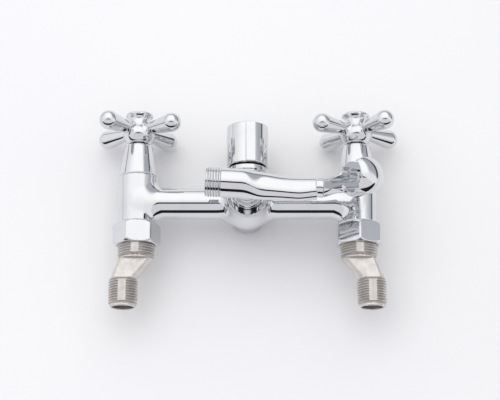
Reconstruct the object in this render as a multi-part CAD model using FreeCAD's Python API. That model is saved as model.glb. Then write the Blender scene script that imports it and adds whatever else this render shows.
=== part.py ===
import FreeCAD, Part
import math
import os

V = FreeCAD.Vector

# Wall mounted bath mixer with two cross handles, a turning diverter and a swivelling hose elbow.
# Millimetres. X runs from the cold side to the hot side, Y from the wall to the user, Z up.
# The origin is the centre of the lower outlet's mouth. Lengths along a column are measured on Y
# from the axis of the bar, and heights in the middle are measured on Z from the same axis.

# Overall layout
inlet_spacing = 157.5
bar_height = 36.0
leg_offset = 8.5

# Clearances
thread_gap = 0.05
run_gap = 0.05
face_gap = 0.1
seat_gap = 0.05
ring_gap = 0.02
shank_room = 0.5
head_room = 0.6

# Body casting
bar_r = 11.0
bar_bore_r = 7.0
port_r = 5.5
column_wall_y = -15.2
column_front_y = 19.0
column_wall_r = 13.5
column_front_r = 14.5
column_fillet = 5.0
chamber_r = 10.45
seat_y = -6.5
seat_thick = 2.0
seat_hole_r = 6.0
boss_r = 14.5
boss_top = 20.5
hub_ball_r = 18.5
front_boss_r = 13.0
front_boss_y = 19.0
stub_r = 12.5
drum_room_back = -9.5
down_port_r = 8.0
outlet_bore_r = 9.3
outlet_bore_depth = 14.0
outlet_groove_r = 10.4
outlet_groove_half = 0.3
rim_chamfer = 0.7

# Threads, as rings, their foot and crest as shares of the pitch
pipe_pitch = 1.814
thread_foot = 0.15
thread_crest = 0.42
union_major_r = 13.22
union_root_r = 12.3
leg_major_r = 10.48
leg_root_r = 9.5
hose_major_r = 10.48
hose_root_r = 9.4
thread_flat = 5.5

# Eccentric unions
union_top_y = -22.5
union_thread_end_y = -39.8
undercut_r = 11.6
undercut_len = 0.9
neck_start_r = 12.2
neck_flat = 7.1
neck_end_y = -55.5
leg_thread_end_y = -73.5
leg_tip_len = 2.0
leg_end_r = 8.9
leg_bore_r = 7.6
union_bore_r = 8.6
neck_bore_r = 5.3
union_bore_end_y = -37.0
leg_bore_end_y = -58.0

# Union nuts, washers, inlet tails and strainers
nut_flats = 30.0
nut_wall_y = -31.0
nut_front_y = -15.5
nut_lip = 2.5
nut_face_r = 15.4
nut_turn_cold = 9.0
nut_turn_hot = 30.0
washer_thick = 2.0
washer_bore_r = 8.6
collar_thick = 2.5
collar_r = 13.0
tail_r = 10.2
tail_front_y = -9.0
tail_bore_r = 7.6
strainer_flange_r = 8.9
strainer_flange_thick = 0.8
strainer_cup_r = 7.3
strainer_cup_len = 7.0
strainer_wall = 0.7
strainer_hole_r = 0.9
strainer_ring_rs = (2.6, 5.0)

# Headworks and bonnets
headwork_low_y = 8.0
headwork_flange_r = 11.7
headwork_flange_thick = 1.8
headwork_flats = 18.0
headwork_hex_top_y = 25.0
barrel_r = 8.0
barrel_top_y = 42.9
screw_room_top_y = 30.0
packing_y = 34.0
packing_room_r = 6.45
packing_len = 4.3
gland_slot = 2.0
gland_slot_depth = 1.2
bonnet_lip_r = 14.3
bonnet_lip_len = 1.3
bonnet_low_r = 13.5
bonnet_top_r = 10.25
bonnet_top_y = 43.3
bonnet_wall = 1.5
bonnet_grip_y = 34.0
bonnet_edge = 0.4
bonnet_room = 0.2
bonnet_shoulder = 1.7

# Spindles and jumpers
spindle_screw_r = 6.0
spindle_screw_top_y = 22.0
stem_r = 4.0
square_flats = 5.6
square_low_y = 47.0
spindle_top_y = 60.5
screw_hole_r = 2.0
screw_hole_low_y = 50.0
jumper_washer_thick = 3.0
jumper_washer_r = 8.0
jumper_plate_r = 8.3
jumper_plate_thick = 1.5
jumper_stem_r = 2.5
jumper_stem_len = 9.0
jumper_pin_r = 1.6

# Cross handles
hub_low_y = 44.3
hub_high_y = 67.4
hub_foot_r = 6.9
hub_bell_r = 11.6
hub_waist_r = 7.6
hub_disc_r = 10.0
hub_disc_y = 65.1
hub_edge = 0.7

# The hub's outline: inside its bell's radius and above its foot, then outside its waist and below its disc
hub_bell_steps = ((2.9, 1.3), (1.3, 3.2), (0.3, 5.6), (0.0, 7.6), (0.6, 10.4))
hub_waist_steps = ((2.0, 7.4), (0.7, 5.0), (0.0, 3.4), (0.4, 2.1))
arm_y = 55.0
arm_r = 3.7
arm_reach = 31.4
arm_ball_r = 6.85
arm_slope = 8.0
arm_blend = 5.0
arm_turn_cold = 6.5
arm_turn_hot = -9.0
hub_web_y = 60.7
hub_web_thick = 1.5
screw_head_r = 3.6
screw_head_len = 2.2
screw_shank_r = 1.95
screw_edge = 0.6
screw_recess_len = 3.6
screw_recess_width = 0.8
screw_recess_depth = 0.9
screw_low_y = 50.5
cap_r = 7.4
cap_floor_y = 65.2
cap_thick = 1.8
cap_dome = 0.7

# Diverter
div_thread_r = 10.95
div_low_y = 11.0
div_flange_r = 11.8
div_flange_thick = 1.5
div_neck_r = 8.0
div_neck_top_y = 36.0
div_stem_r = 4.5
ring_groove_depth = 1.1
ring_groove_len = 2.0
ring_section_r = 0.54
div_ring_y = 22.0
div_ring_step = 7.0
drum_r = 10.0
drum_front_y = 10.7
drum_bore_r = 6.5
drum_window_r = 5.5
div_square_flats = 6.2
div_square_low_y = 38.0
div_top_y = 52.0
div_screw_len = 9.5
div_hole_len = 11.0
drum_back_wall = 2.0
drum_front_wall = 3.0
collar_low_y = 20.7
collar_waist_r = 12.4
collar_waist_y = 22.3
collar_top_r = 13.4
collar_top_y = 26.6
collar_flare = 0.8
collar_edge = 0.6
knob_r = 15.0
knob_low_y = 27.3
knob_high_y = 57.7
knob_wall = 2.0
knob_edge = 1.0
knob_hub_r = 6.5
knob_floor_y = 52.4
knob_floor_thick = 2.0
knob_rib = 7.0
knob_rib_proud = 0.9
knob_rib_turn = 9.0
knob_rib_edge = 0.7
knob_cap_r = 9.5
knob_cap_y = 56.2
knob_cap_rim = 1.1
knob_cap_lift = 0.3

# Hose elbow, its bush, clip and rings, heights from the bar axis
bush_low = 14.5
bush_thread_r = 10.85
bush_flange_r = 12.0
bush_top = 26.0
bush_edge = 0.5
spigot_r = 8.0
spigot_low = 11.4
spigot_bore_r = 5.6
spigot_room_r = 9.6
clip_low = 13.3
clip_thick = 1.0
clip_inner_r = 7.0
clip_outer_r = 9.3
clip_opening = 60.0
elbow_ring_low = 17.5
elbow_ring_step = 4.6
neck_step_r = 10.5
neck_step_top = 31.0
neck_r = 9.7
elbow_axis = 48.5
elbow_turn = -3.3
elbow_tube_r = 10.2
elbow_bore_r = 7.4
hose_end = 28.5
hose_thread_len = 10.4
arm_start = 5.0
arm_end = 47.5
arm_tilt = 28.5
arm_wide_start = 9.9
arm_thin_start = 8.4
arm_wide = 8.3
arm_thin = 5.0
arm_ring_r = 6.6
arm_ring_len = 4.2
arm_ring_edge = 0.3

# Handset holder, places from the elbow's axes
pivot_r = 4.0
pivot_len = 9.0
pivot_room = 0.6
pivot_groove_at = 5.5
pivot_groove_len = 3.6
pivot_groove_depth = 1.1
pivot_ring_at = 2.6
pivot_ring_len = 1.6
grub_r = 1.5
grub_clear = 0.2
grub_sunk = 0.1
grub_key = 1.3
head_reach = 80.0
head_forward = 9.4
head_rise = 3.0
head_r = 12.5
head_back = 10.3
head_edge = 9.6
cup_len = 10.8
cup_mouth_r = 11.1
cup_seat_r = 9.9
cup_depth = 16.0
cup_hole_r = 7.1
cup_slot = 14.2

# Along the holder's neck: shares of the way out and forwards to the cup, then rise, half width and half height
neck_stations = ((0.124, 0.106, -0.5, 6.15, 5.8), (0.270, 0.362, -2.0, 6.2, 4.7),
                 (0.440, 0.734, -4.3, 8.1, 4.0), (0.560, 0.883, -5.3, 9.5, 3.6), (0.709, 0.947, -4.8, 10.6, 3.2))
cup_back = 0.85
cup_wallward = 0.19
cup_up = 0.48

# Flow straightener in the lower outlet
straightener_r = 8.75
straightener_thick = 4.0
straightener_cell = 2.3
straightener_web = 0.7
straightener_rim = 1.0

half_spacing = inlet_spacing / 2
sides = {"cold": -1, "hot": 1}
neck_start_y = union_thread_end_y - undercut_len
collar_low = union_top_y + washer_thick
plate_low = seat_y + seat_gap + jumper_washer_thick
plate_top = plate_low + jumper_plate_thick


def from_z(shape, direction):
    """Turns a shape built up the Z axis so that it points along X or Y."""
    turned = shape.copy()
    if direction == "y":
        turned.rotate(V(0, 0, 0), V(1, 0, 0), -90)
    if direction == "x":
        turned.rotate(V(0, 0, 0), V(0, 1, 0), 90)
    return turned


def moved(shape, x=0, y=0, z=0):
    shape = shape.copy()
    shape.translate(V(x, y, z))
    return shape


def rod(radius, low, high):
    return Part.makeCylinder(radius, high - low, V(0, 0, low))


def cone(low_r, high_r, low, high):
    return Part.makeCone(low_r, high_r, high - low, V(0, 0, low))


def tube(outer_r, inner_r, low, high):
    return rod(outer_r, low, high).cut(rod(inner_r, low - 1, high + 1))


def turned_solid(points):
    """Revolves an outline of (radius, height) points about the Z axis."""
    corners = [V(r, 0, h) for r, h in points]
    face = Part.Face(Part.makePolygon(corners + corners[:1]))
    return face.revolve(V(0, 0, 0), V(0, 0, 1), 360)


def turned_wire(edges):
    """Revolves a closed outline of edges about the Z axis."""
    face = Part.Face(Part.Wire(Part.__sortEdges__(edges)))
    return face.revolve(V(0, 0, 0), V(0, 0, 1), 360)


def line(start, end):
    return Part.LineSegment(V(start[0], 0, start[1]), V(end[0], 0, end[1])).toShape()


def arc(start, middle, end):
    points = [V(p[0], 0, p[1]) for p in (start, middle, end)]
    return Part.Arc(*points).toShape()


def outline_curve(points):
    """A smooth curve through (radius, height) points."""
    curve = Part.BSplineCurve()
    curve.interpolate([V(r, 0, h) for r, h in points])
    return curve.toShape()


def hexagon(flats, low, high, turn=0.0):
    """A hexagon bar with a corner towards X when turn is 0."""
    radius = flats / 2 / math.cos(math.radians(30))
    corners = []
    for step in range(6):
        angle = math.radians(60 * step + turn)
        corners.append(V(radius * math.cos(angle), radius * math.sin(angle), low))
    face = Part.Face(Part.makePolygon(corners + corners[:1]))
    return face.extrude(V(0, 0, high - low))


def square(flats, low, high):
    return Part.makeBox(flats, flats, high - low, V(-flats / 2, -flats / 2, low))


def thread(root_r, major_r, low, high):
    """A threaded length as rings of a V section, with a plain core."""
    count = int((high - low) / pipe_pitch)
    start = low + ((high - low) - count * pipe_pitch) / 2
    outline = [(0, low), (root_r, low)]
    for turn in range(count):
        base = start + turn * pipe_pitch
        outline.append((root_r, base + thread_foot * pipe_pitch))
        outline.append((major_r, base + thread_crest * pipe_pitch))
        outline.append((major_r, base + (1 - thread_crest) * pipe_pitch))
        outline.append((root_r, base + (1 - thread_foot) * pipe_pitch))
    outline += [(root_r, high), (0, high)]
    return turned_solid(outline)


def flatted_thread(root_r, major_r, low, high):
    """A thread whose crests carry a narrow flat above and below."""
    depth = math.sqrt(major_r ** 2 - (thread_flat / 2) ** 2)
    block = Part.makeBox(4 * major_r, 2 * depth, high - low, V(-2 * major_r, -depth, low))
    return thread(root_r, major_r, low, high).common(block)


def groove_rings(centre_r, low, high):
    """Cutters for an internal thread as rings."""
    rings = []
    count = int((high - low) / pipe_pitch)
    for turn in range(count):
        base = low + (turn + 0.5) * pipe_pitch - outlet_groove_half
        rings.append(tube(centre_r, outlet_bore_r - 0.5, base, base + 2 * outlet_groove_half))
    return rings


def o_ring(centre_r, height):
    return Part.makeTorus(centre_r, ring_section_r, V(0, 0, height))


def column(shape, side):
    """Puts a shape built on the Z axis on the column of one side."""
    return moved(from_z(shape, "y"), sides[side] * half_spacing, 0, bar_height)


def middle_front(shape):
    return moved(from_z(shape, "y"), 0, 0, bar_height)


def middle_up(shape):
    return moved(shape, 0, 0, bar_height)


def loop_edges(shape, reach, low_x, high_x):
    """Edges that lie wholly between two X places and near the bar's surface."""
    found = []
    for edge in shape.Edges:
        box = edge.BoundBox
        inside = low_x < box.XMin and box.XMax < high_x
        if inside and box.YLength > 1.6 * reach and box.ZLength > 1.6 * reach:
            if abs(box.YMax) < reach + 0.5 and abs(box.ZMax) < reach + 0.5:
                found.append(edge)
    return found


def body_casting():
    bar = from_z(rod(bar_r, -half_spacing, half_spacing), "x")
    shell = bar
    for side in sides.values():
        body = cone(column_wall_r, column_front_r, column_wall_y, column_front_y)
        shell = shell.fuse(moved(from_z(body, "y"), side * half_spacing))
    hub = Part.makeSphere(hub_ball_r)
    shell = shell.fuse(hub).removeSplitter()
    loops = loop_edges(shell, bar_r, -half_spacing, half_spacing)
    shell = shell.makeFillet(column_fillet, loops)
    stub = rod(stub_r, -bar_height, 0)
    rim = [e for e in stub.Edges if e.BoundBox.ZMax < 1 - bar_height]
    stub = stub.makeChamfer(rim_chamfer, rim)
    front_boss = from_z(rod(front_boss_r, 0, front_boss_y), "y")
    shell = shell.fuse([rod(boss_r, 0, boss_top), stub, front_boss])
    bar_room = half_spacing - column_front_r
    hollows = [from_z(rod(bar_bore_r, -bar_room, bar_room), "x")]
    hollows.append(from_z(rod(port_r, -half_spacing, half_spacing), "x"))
    for side in sides.values():
        room = rod(chamber_r, seat_y, column_front_y + 1)
        room = room.fuse(rod(seat_hole_r, column_wall_y, seat_y + 1))
        room = room.fuse(rod(tail_r + thread_gap, column_wall_y - 1, seat_y - seat_thick))
        hollows.append(moved(from_z(room, "y"), side * half_spacing))
    hollows.append(from_z(rod(drum_r + run_gap, drum_room_back, div_low_y), "y"))
    hollows.append(from_z(rod(div_thread_r + thread_gap, div_low_y, front_boss_y + 1), "y"))
    hollows.append(rod(spigot_room_r, 0, bush_low))
    hollows.append(rod(bush_thread_r + thread_gap, bush_low, boss_top + 1))
    hollows.append(rod(down_port_r, -bar_height, 0))
    bore_top = -bar_height + outlet_bore_depth
    hollows.append(rod(outlet_bore_r, -bar_height - 1, bore_top))
    hollows.append(rod(straightener_r + thread_gap, bore_top - 1, bore_top + straightener_thick))
    hollows += groove_rings(outlet_groove_r, -bar_height + 0.5, bore_top - 0.5)
    return middle_up(shell.cut(hollows))


def eccentric_union(side):
    top = flatted_thread(union_root_r, union_major_r, union_thread_end_y, union_top_y)
    top = top.fuse(rod(undercut_r, neck_start_y, neck_start_y + undercut_len))
    neck_top = Part.Wire(Part.makeCircle(neck_start_r, V(0, 0, neck_start_y)))
    neck_low = Part.Wire(Part.makeCircle(leg_root_r, V(leg_offset, 0, neck_end_y)))
    neck = Part.makeLoft([neck_low, neck_top], True, True)
    reach = 4 * neck_start_r
    neck_len = neck_start_y - neck_end_y
    block = Part.makeBox(2 * reach, 2 * neck_flat, neck_len, V(-reach, -neck_flat, neck_end_y))
    leg = flatted_thread(leg_root_r, leg_major_r, leg_thread_end_y, neck_end_y)
    leg_end_y = leg_thread_end_y - leg_tip_len
    leg = leg.fuse(cone(leg_end_r, leg_root_r, leg_end_y, leg_thread_end_y))
    leg = leg.cut(rod(leg_bore_r, leg_end_y - 1, leg_bore_end_y))
    shape = top.fuse([neck.common(block), moved(leg, leg_offset)])
    run_low = V(leg_offset, 0, leg_bore_end_y)
    run_high = V(0, 0, union_bore_end_y)
    run = run_high.sub(run_low)
    shape = shape.cut([rod(union_bore_r, union_bore_end_y, union_top_y + 1),
                       Part.makeCylinder(neck_bore_r, run.Length, run_low, run),
                       Part.makeSphere(neck_bore_r, run_low),
                       Part.makeSphere(neck_bore_r, run_high)])
    if side == "cold":
        shape = shape.mirror(V(0, 0, 0), V(1, 0, 0))
    return column(shape, side)


def union_nut(side):
    turn = nut_turn_hot if side == "hot" else nut_turn_cold
    body = hexagon(nut_flats, nut_wall_y, nut_front_y, turn)
    corner_r = nut_flats / 2 / math.cos(math.radians(30))
    slope = corner_r - nut_face_r
    barrel = turned_solid([(0, nut_wall_y), (nut_face_r, nut_wall_y),
                           (corner_r, nut_wall_y + slope), (corner_r, nut_front_y - slope),
                           (nut_face_r, nut_front_y), (0, nut_front_y)])
    body = body.common(barrel)
    body = body.cut([rod(union_major_r + thread_gap, nut_wall_y - 1, nut_front_y - nut_lip),
                     rod(tail_r + run_gap, nut_front_y - nut_lip - 1, nut_front_y + 1)])
    return column(body, side)


def union_washer(side):
    return column(tube(collar_r, washer_bore_r, union_top_y, collar_low), side)


def inlet_tail(side):
    body = rod(collar_r, collar_low, collar_low + collar_thick)
    body = body.fuse(rod(tail_r, collar_low, tail_front_y))
    flange_top = collar_low + strainer_flange_thick
    body = body.cut([rod(tail_bore_r, collar_low - 1, tail_front_y + 1),
                     rod(strainer_flange_r + thread_gap, collar_low - 1, flange_top)])
    return column(body, side)


def inlet_strainer(side):
    top = collar_low + strainer_cup_len
    cup = rod(strainer_flange_r, collar_low, collar_low + strainer_flange_thick)
    cup = cup.fuse(rod(strainer_cup_r, collar_low, top))
    cup = cup.cut(rod(strainer_cup_r - strainer_wall, collar_low - 1, top - strainer_wall))
    holes = [rod(strainer_hole_r, collar_low, top + 1)]
    for number, ring in enumerate(strainer_ring_rs, 1):
        count = 6 * number
        for step in range(count):
            angle = 2 * math.pi * step / count
            hole = rod(strainer_hole_r, collar_low, top + 1)
            holes.append(moved(hole, ring * math.cos(angle), ring * math.sin(angle)))
    return column(cup.cut(holes), side)


def headwork(side):
    flange_top = column_front_y + headwork_flange_thick
    body = rod(chamber_r - thread_gap, headwork_low_y, column_front_y)
    body = body.fuse([rod(headwork_flange_r, column_front_y, flange_top),
                      hexagon(headwork_flats, flange_top, headwork_hex_top_y),
                      rod(barrel_r, headwork_hex_top_y, barrel_top_y)])
    body = body.cut([rod(spindle_screw_r + run_gap, headwork_low_y - 1, screw_room_top_y),
                     rod(stem_r + run_gap, screw_room_top_y - 1, packing_y + 1),
                     rod(packing_room_r, packing_y, barrel_top_y + 1)])
    return column(body, side)


def packing(side):
    body = tube(packing_room_r - run_gap, stem_r + run_gap, packing_y, packing_y + packing_len)
    return column(body, side)


def gland_nut(side):
    low = packing_y + packing_len
    body = tube(packing_room_r - run_gap, stem_r + run_gap, low, barrel_top_y)
    reach = 2 * packing_room_r
    slot_low = barrel_top_y - gland_slot_depth
    slot = Part.makeBox(reach, gland_slot, gland_slot, V(-reach / 2, -gland_slot / 2, slot_low))
    return column(body.cut(slot), side)


def jumper(side):
    body = rod(jumper_plate_r, plate_low, plate_top)
    body = body.fuse([rod(jumper_stem_r, plate_top, plate_top + jumper_stem_len),
                      rod(jumper_pin_r, seat_y + seat_gap, plate_low)])
    return column(body, side)


def jumper_washer(side):
    low = seat_y + seat_gap
    return column(tube(jumper_washer_r, jumper_pin_r, low, plate_low), side)


def spindle(side):
    low = plate_top + face_gap
    body = rod(spindle_screw_r, low, spindle_screw_top_y)
    body = body.fuse([rod(stem_r, spindle_screw_top_y, square_low_y),
                      square(square_flats, square_low_y, spindle_top_y)])
    stem_room = plate_top + jumper_stem_len + face_gap
    body = body.cut([rod(jumper_stem_r + run_gap, low - 1, stem_room),
                     rod(screw_hole_r, screw_hole_low_y, spindle_top_y + 1)])
    return column(body, side)


def bonnet(side):
    lip_top = column_front_y + bonnet_lip_len
    grip_r = barrel_r + thread_gap
    slope = (bonnet_top_r - bonnet_low_r) / (bonnet_top_y - lip_top)
    inner_at_grip = bonnet_low_r + slope * (bonnet_grip_y - lip_top) - bonnet_wall
    inner_at_low = headwork_flange_r + bonnet_room
    body = turned_solid([(bonnet_lip_r - bonnet_wall, column_front_y),
                         (bonnet_lip_r - bonnet_edge, column_front_y),
                         (bonnet_lip_r, column_front_y + bonnet_edge),
                         (bonnet_lip_r, lip_top - bonnet_edge), (bonnet_lip_r - bonnet_edge, lip_top),
                         (bonnet_low_r, lip_top), (bonnet_top_r, bonnet_top_y - bonnet_shoulder),
                         (bonnet_top_r - bonnet_edge, bonnet_top_y - bonnet_shoulder / 2),
                         (bonnet_top_r - bonnet_shoulder, bonnet_top_y), (grip_r, bonnet_top_y),
                         (grip_r, bonnet_grip_y), (inner_at_grip, bonnet_grip_y - bonnet_wall),
                         (inner_at_low, lip_top + bonnet_wall), (inner_at_low, column_front_y)])
    return column(body, side)


def cross_arm():
    """One arm of the cross along Z: a plain neck, a flare and a ball end."""
    slope = math.radians(arm_slope)
    meet_r = arm_ball_r * math.cos(slope)
    meet_h = arm_reach - arm_ball_r * math.sin(slope)
    flare_h = meet_h - (meet_r - arm_r) / math.tan(slope)
    upper_r = arm_r + arm_blend * math.sin(slope)
    upper_h = flare_h + arm_blend * math.cos(slope)
    bend_r = arm_blend / math.tan(slope / 2)
    middle_r = arm_r + bend_r * (1 - math.cos(slope / 2))
    middle_h = flare_h - arm_blend + bend_r * math.sin(slope / 2)
    tip = arm_reach + arm_ball_r
    swing = (math.pi / 2 + slope) / 2
    side_r = arm_ball_r * math.sin(swing)
    side_h = arm_reach + arm_ball_r * math.cos(swing)
    edges = [line((0, 0), (arm_r, 0)),
             line((arm_r, 0), (arm_r, flare_h - arm_blend)),
             arc((arm_r, flare_h - arm_blend), (middle_r, middle_h), (upper_r, upper_h)),
             line((upper_r, upper_h), (meet_r, meet_h)),
             arc((meet_r, meet_h), (side_r, side_h), (0, tip)),
             line((0, tip), (0, 0))]
    return turned_wire(edges)


def handle(side):
    outline = [(hub_foot_r, hub_low_y)]
    outline += [(hub_bell_r - inward, hub_low_y + up) for inward, up in hub_bell_steps]
    outline += [(hub_waist_r + outward, hub_disc_y - down) for outward, down in hub_waist_steps]
    outline += [(hub_disc_r - hub_edge, hub_disc_y - hub_edge), (hub_disc_r, hub_disc_y)]
    corners = [outline[-1], (hub_disc_r, hub_high_y - hub_edge), (hub_disc_r - hub_edge, hub_high_y),
               (0, hub_high_y), (0, hub_low_y), outline[0]]
    edges = [line(start, end) for start, end in zip(corners, corners[1:])]
    hub = turned_wire(edges + [outline_curve(outline)])
    turn = arm_turn_hot if side == "hot" else arm_turn_cold
    arms = []
    for step in range(4):
        arm = from_z(cross_arm(), "x")
        arm.rotate(V(0, 0, 0), V(0, 0, 1), 45 + 90 * step + turn)
        arms.append(moved(arm, 0, 0, arm_y))
    body = hub.fuse(arms)
    body = body.cut([rod(stem_r + bonnet_room, hub_low_y - 1, square_low_y),
                     square(square_flats + 2 * run_gap, square_low_y - 1, hub_web_y),
                     rod(screw_shank_r + shank_room, hub_web_y - 1, hub_web_y + hub_web_thick + 1),
                     rod(screw_head_r + head_room, hub_web_y + hub_web_thick, hub_high_y + 1),
                     rod(cap_r + thread_gap, cap_floor_y, hub_high_y + 1)])
    return column(body, side)


def head_screw(head_low, head_top, shank_low):
    """A pan head screw with a cross recess, its head standing on head_low."""
    body = rod(screw_head_r, head_low, head_top)
    body = body.makeFillet(screw_edge, [e for e in body.Edges if e.BoundBox.ZMin > head_top - 0.01])
    body = body.fuse(rod(screw_shank_r, shank_low, head_low))
    recess_low = head_top - screw_recess_depth
    for width, length in ((screw_recess_len, screw_recess_width), (screw_recess_width, screw_recess_len)):
        corner = V(-width / 2, -length / 2, recess_low)
        body = body.cut(Part.makeBox(width, length, 2 * screw_recess_depth, corner))
    return body


def handle_screw(side):
    head_low = hub_web_y + hub_web_thick
    return column(head_screw(head_low, head_low + screw_head_len, screw_low_y), side)


def domed_disc(radius, low, rim, rise):
    """A disc whose top bulges by rise above its rim."""
    ball_r = (radius ** 2 + rise ** 2) / (2 * rise)
    ball = Part.makeSphere(ball_r, V(0, 0, rim + rise - ball_r))
    return rod(radius, low, rim + 2 * rise).common(ball)


def index_cap(side):
    return column(domed_disc(cap_r, cap_floor_y, cap_floor_y + cap_thick, cap_dome), side)


def diverter_headwork():
    flange_top = front_boss_y + div_flange_thick
    body = rod(div_thread_r, div_low_y, front_boss_y)
    body = body.fuse([rod(div_flange_r, front_boss_y, flange_top),
                      rod(div_neck_r, flange_top, div_neck_top_y)])
    return middle_front(body.cut(rod(div_stem_r + run_gap, div_low_y - 1, div_neck_top_y + 1)))


def diverter_collar():
    grip_r = div_neck_r + thread_gap
    body = turned_solid([(grip_r, collar_low_y), (collar_waist_r, collar_low_y),
                         (collar_waist_r, collar_waist_y), (collar_top_r, collar_waist_y + collar_flare),
                         (collar_top_r, collar_top_y - collar_edge),
                         (collar_top_r - collar_edge, collar_top_y), (grip_r, collar_top_y)])
    return middle_front(body)


def diverter_drum():
    body = rod(drum_r, drum_room_back + face_gap, drum_front_y)
    body = body.fuse([rod(div_stem_r, drum_front_y, div_square_low_y),
                      square(div_square_flats, div_square_low_y, div_top_y)])
    cuts = [rod(drum_bore_r, drum_room_back + drum_back_wall, drum_front_y - drum_front_wall),
            from_z(rod(drum_window_r, -drum_r - 1, drum_r + 1), "x"),
            from_z(rod(drum_window_r, 0, drum_r + 1), "y").mirror(V(0, 0, 0), V(0, 1, 0)),
            rod(screw_hole_r, div_top_y - div_hole_len, div_top_y + 1)]
    for step in range(2):
        height = div_ring_y + step * div_ring_step
        low = height - ring_groove_len / 2
        cuts.append(tube(div_stem_r + 1, div_stem_r - ring_groove_depth, low, low + ring_groove_len))
    return middle_front(body.cut(cuts))


def diverter_o_rings():
    rings = []
    for step in range(2):
        rings.append(o_ring(div_stem_r - ring_section_r, div_ring_y + step * div_ring_step))
    return middle_front(Part.makeCompound(rings))


def diverter_knob():
    body = rod(knob_r, knob_low_y, knob_high_y)
    rib_reach = knob_r + knob_rib_proud
    rib_len = knob_high_y - knob_low_y
    rib = Part.makeBox(knob_rib, rib_reach, rib_len, V(-knob_rib / 2, 0, knob_low_y))
    long_edges = [e for e in rib.Edges if e.BoundBox.YMin > rib_reach - 0.1 and e.Length > rib_len - 0.1]
    rib = rib.makeChamfer(knob_rib_edge, long_edges)
    rib.rotate(V(0, 0, 0), V(0, 0, 1), 180 + knob_rib_turn)
    body = body.fuse(rib).removeSplitter()
    body = body.makeFillet(knob_edge, [e for e in body.Edges if e.BoundBox.ZMin > knob_high_y - 0.1])
    room = rod(knob_r - knob_wall, knob_low_y - 1, knob_floor_y)
    hub = rod(knob_hub_r, div_square_low_y, knob_floor_y + 1)
    body = body.cut(room).fuse(hub)
    screw_seat = knob_floor_y + knob_floor_thick
    body = body.cut([square(div_square_flats + 2 * run_gap, div_square_low_y - 1, knob_floor_y),
                     rod(screw_shank_r + shank_room, knob_floor_y - 1, screw_seat + 1),
                     rod(screw_head_r + head_room, screw_seat, knob_high_y + 1),
                     rod(knob_cap_r + thread_gap, knob_cap_y, knob_high_y + 1)])
    return middle_front(body)


def knob_screw():
    head_top = knob_cap_y - knob_cap_lift
    return middle_front(head_screw(knob_floor_y + knob_floor_thick, head_top, div_top_y - div_screw_len))


def knob_cap():
    return middle_front(domed_disc(knob_cap_r, knob_cap_y, knob_cap_y + knob_cap_rim, cap_dome))


def elbow_bush():
    body = rod(bush_thread_r, bush_low, boss_top).fuse(rod(bush_flange_r, boss_top, bush_top))
    rim = [e for e in body.Edges if e.BoundBox.ZMin > bush_top - 0.01]
    body = body.makeChamfer(bush_edge, rim)
    return middle_up(body.cut(rod(spigot_r + run_gap, bush_low - 1, bush_top + 1)))


def elbow_clip():
    body = tube(clip_outer_r, clip_inner_r, clip_low, clip_low + clip_thick)
    half = math.radians(clip_opening / 2)
    reach = 2 * clip_outer_r
    corners = [V(0, 0, clip_low - 1), V(-reach * math.sin(half), reach * math.cos(half), clip_low - 1),
               V(reach * math.sin(half), reach * math.cos(half), clip_low - 1)]
    wedge = Part.Face(Part.makePolygon(corners + corners[:1])).extrude(V(0, 0, clip_thick + 2))
    return middle_up(body.cut(wedge))


def elbow_ring_heights():
    return [elbow_ring_low + step * elbow_ring_step for step in range(2)]


def elbow_o_rings():
    rings = [o_ring(spigot_r - ring_section_r, height) for height in elbow_ring_heights()]
    return middle_up(Part.makeCompound(rings))


def elbow_place(shape):
    """Places a shape built about the elbow's own axes, which are turned a little in the photograph."""
    shape = shape.copy()
    shape.rotate(V(0, 0, 0), V(0, 0, 1), elbow_turn)
    return moved(shape, 0, 0, bar_height + elbow_axis)


def oval(wide, thin, at):
    """An oval section across X, its broad face tilted from up towards the user."""
    return cross_section(wide, thin, arm_tilt, V(at, 0, 0))


def cross_section(wide, thin, tilt, middle):
    """An oval wire square to X, its long axis turned by tilt from level towards the wall's normal."""
    curve = Part.Circle(V(0, 0, 0), V(0, 0, 1), wide)
    if wide > thin:
        curve = Part.Ellipse(V(0, 0, 0), wide, thin)
    wire = Part.Wire(curve.toShape())
    wire.rotate(V(0, 0, 0), V(0, 0, 1), 90 - tilt)
    wire.rotate(V(0, 0, 0), V(0, 1, 0), 90)
    wire.translate(middle)
    return wire


def holder_arm():
    """The arm thins and flattens on its way from the tube to the ring."""
    third = (arm_end - arm_start) / 3
    mid_wide = (arm_wide_start + arm_wide) / 2
    mid_thin = (arm_thin_start + arm_thin) / 2
    places = (arm_start, arm_start + 0.6 * third, arm_start + 1.4 * third, arm_end - 0.6 * third, arm_end)
    wides = (elbow_tube_r, arm_wide_start, mid_wide, arm_wide + 0.1, arm_wide)
    thins = (elbow_tube_r, arm_thin_start, mid_thin, arm_thin + 0.1, arm_thin)
    wires = [oval(wide, thin, at) for wide, thin, at in zip(wides, thins, places)]
    return Part.makeLoft(wires, True, False)


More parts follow.
